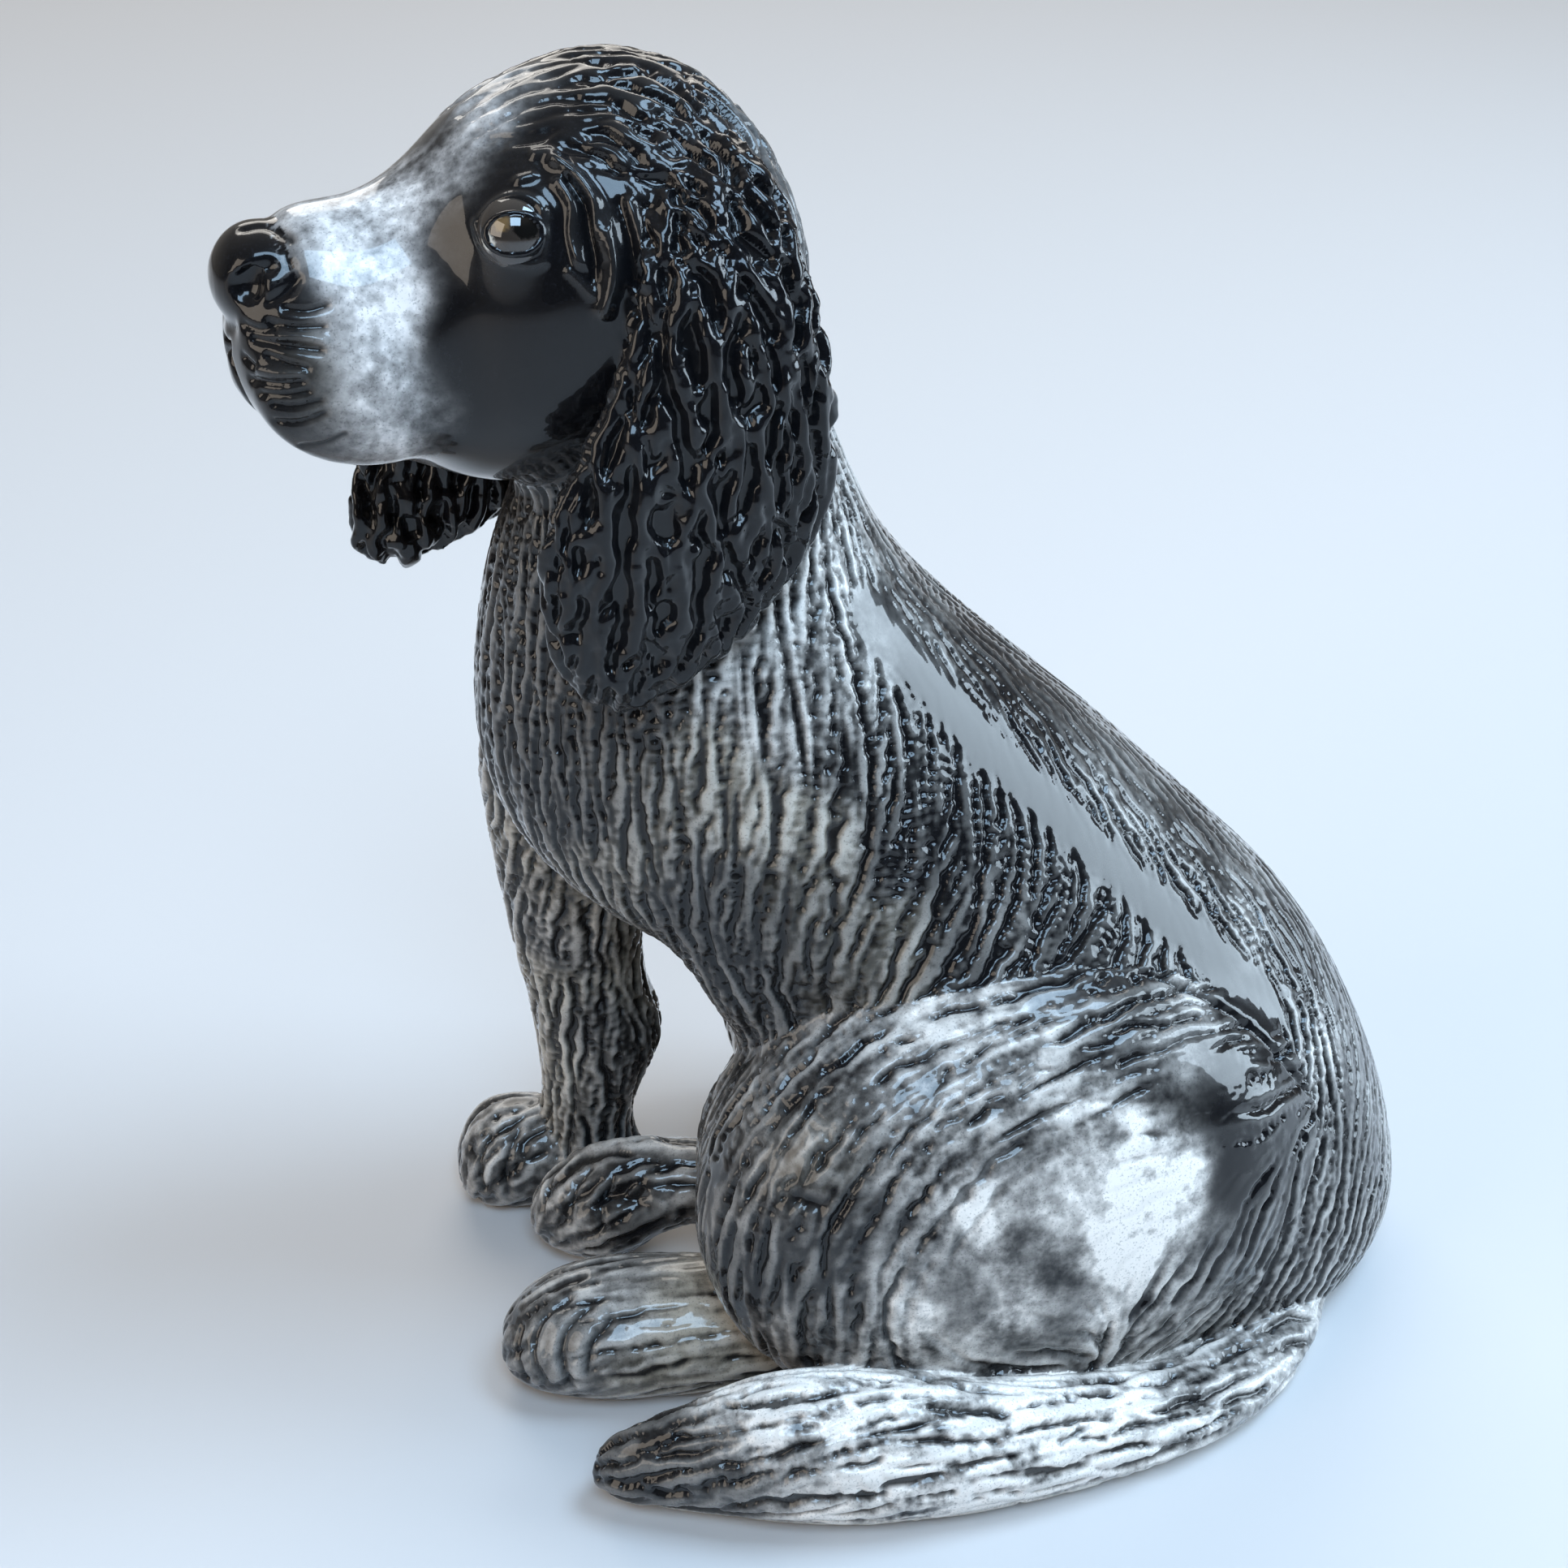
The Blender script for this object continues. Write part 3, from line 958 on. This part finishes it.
eyeMarks = {"pupil": (646, 279), "corner": (607, 297), "amber": (622, 278)}
for side, centre in eyeCentre.items():
    spots = [onSkin(*spot) for spot in eyeMarks.values()]
    if side == "right":
        spots = [mirrored(p) for p in spots]
    spots = [Vector((centre + opening["radius"] * unit(p - centre)) * mm) for p in spots]
    ball = bmesh.new()
    bmesh.ops.create_icosphere(ball, subdivisions=5, radius=opening["radius"] * mm,
                               matrix=Matrix.Translation(Vector(centre * mm)))
    ballMesh = meshOf(side + "_eye_ball", ball)
    ballMesh.polygons.foreach_set("use_smooth", np.ones(len(ballMesh.polygons), bool))
    piece = placed(side + "_eye_ball", ballMesh)
    piece.data.materials.append(eyeMaterial(side + "_eye_glaze", *spots))
    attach(piece, "root")
    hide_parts(side + "_eye")

# floor and light
work = bmesh.new()
bmesh.ops.create_grid(work, x_segments=1, y_segments=1, size=3.0)
floor = placed("floor", meshOf("floor", work))
floorPaint, _, _ = freshMaterial("floor_paint", {"Base Color": colour(0.575, 0.56, 0.56), "Roughness": 0.55})
floor.data.materials.append(floorPaint)

world = bpy.data.worlds.new("studio")
bpy.context.scene.world = world
world.use_nodes = True
# brighter overhead and behind the figure, dim on the side that its black cheeks reflect
wire = Wire(world.node_tree)
towards = wire.add("ShaderNodeTexCoord", {}, {}, "Generated")
acrossSky, upSky = (wire.add("ShaderNodeSeparateXYZ", {}, {0: towards}, k) for k in (1, 2))
skyLight = 0.03 + upSky.between(0.45, 0.95) * 0.17 + acrossSky.between(-0.1, 0.6) * 0.16
background = world.node_tree.nodes["Background"]
background.inputs["Color"].default_value = colour(1.0, 0.94, 0.86)
skyLight.into(background.inputs["Strength"])

# soft boxes: direction from the figure, distance, size, power, colour
lightAim = Vector((-0.02, 0, 0.06))
boxes = {"window": ((0.93, -0.16, 0.34), 0.9, (0.5, 0.5), 8.0, (0.70, 0.86, 1.0)),
         "sky": ((-0.1, -0.62, 0.78), 1.0, (0.46, 0.4), 6.6, (0.50, 0.74, 1.0)),
         "crownSky": ((0.42, -0.1, 0.9), 1.0, (0.46, 0.4), 7.6, (0.50, 0.74, 1.0)),
         "leftFill": ((-0.85, -0.35, 0.4), 1.1, (0.7, 0.7), 4.8, (1.0, 0.88, 0.75)),
         "backWall": ((0.1, 0.8, 0.6), 1.4, (1.2, 0.8), 8.0, (1.0, 0.96, 0.9))}
for name, (way, far, (wide, high), power, tint) in boxes.items():
    lamp = bpy.data.lights.new(name, "AREA")
    lamp.shape = "RECTANGLE"
    lamp.size, lamp.size_y = wide, high
    lamp.energy = power
    lamp.color = tint
    lampObject = placed(name, lamp)
    way = Vector(way).normalized()
    lampObject.location = lightAim + way * far
    lampObject.rotation_euler = (-way).to_track_quat("-Z", "Y").to_euler()
bpy.context.scene.view_settings.view_transform = "Standard"
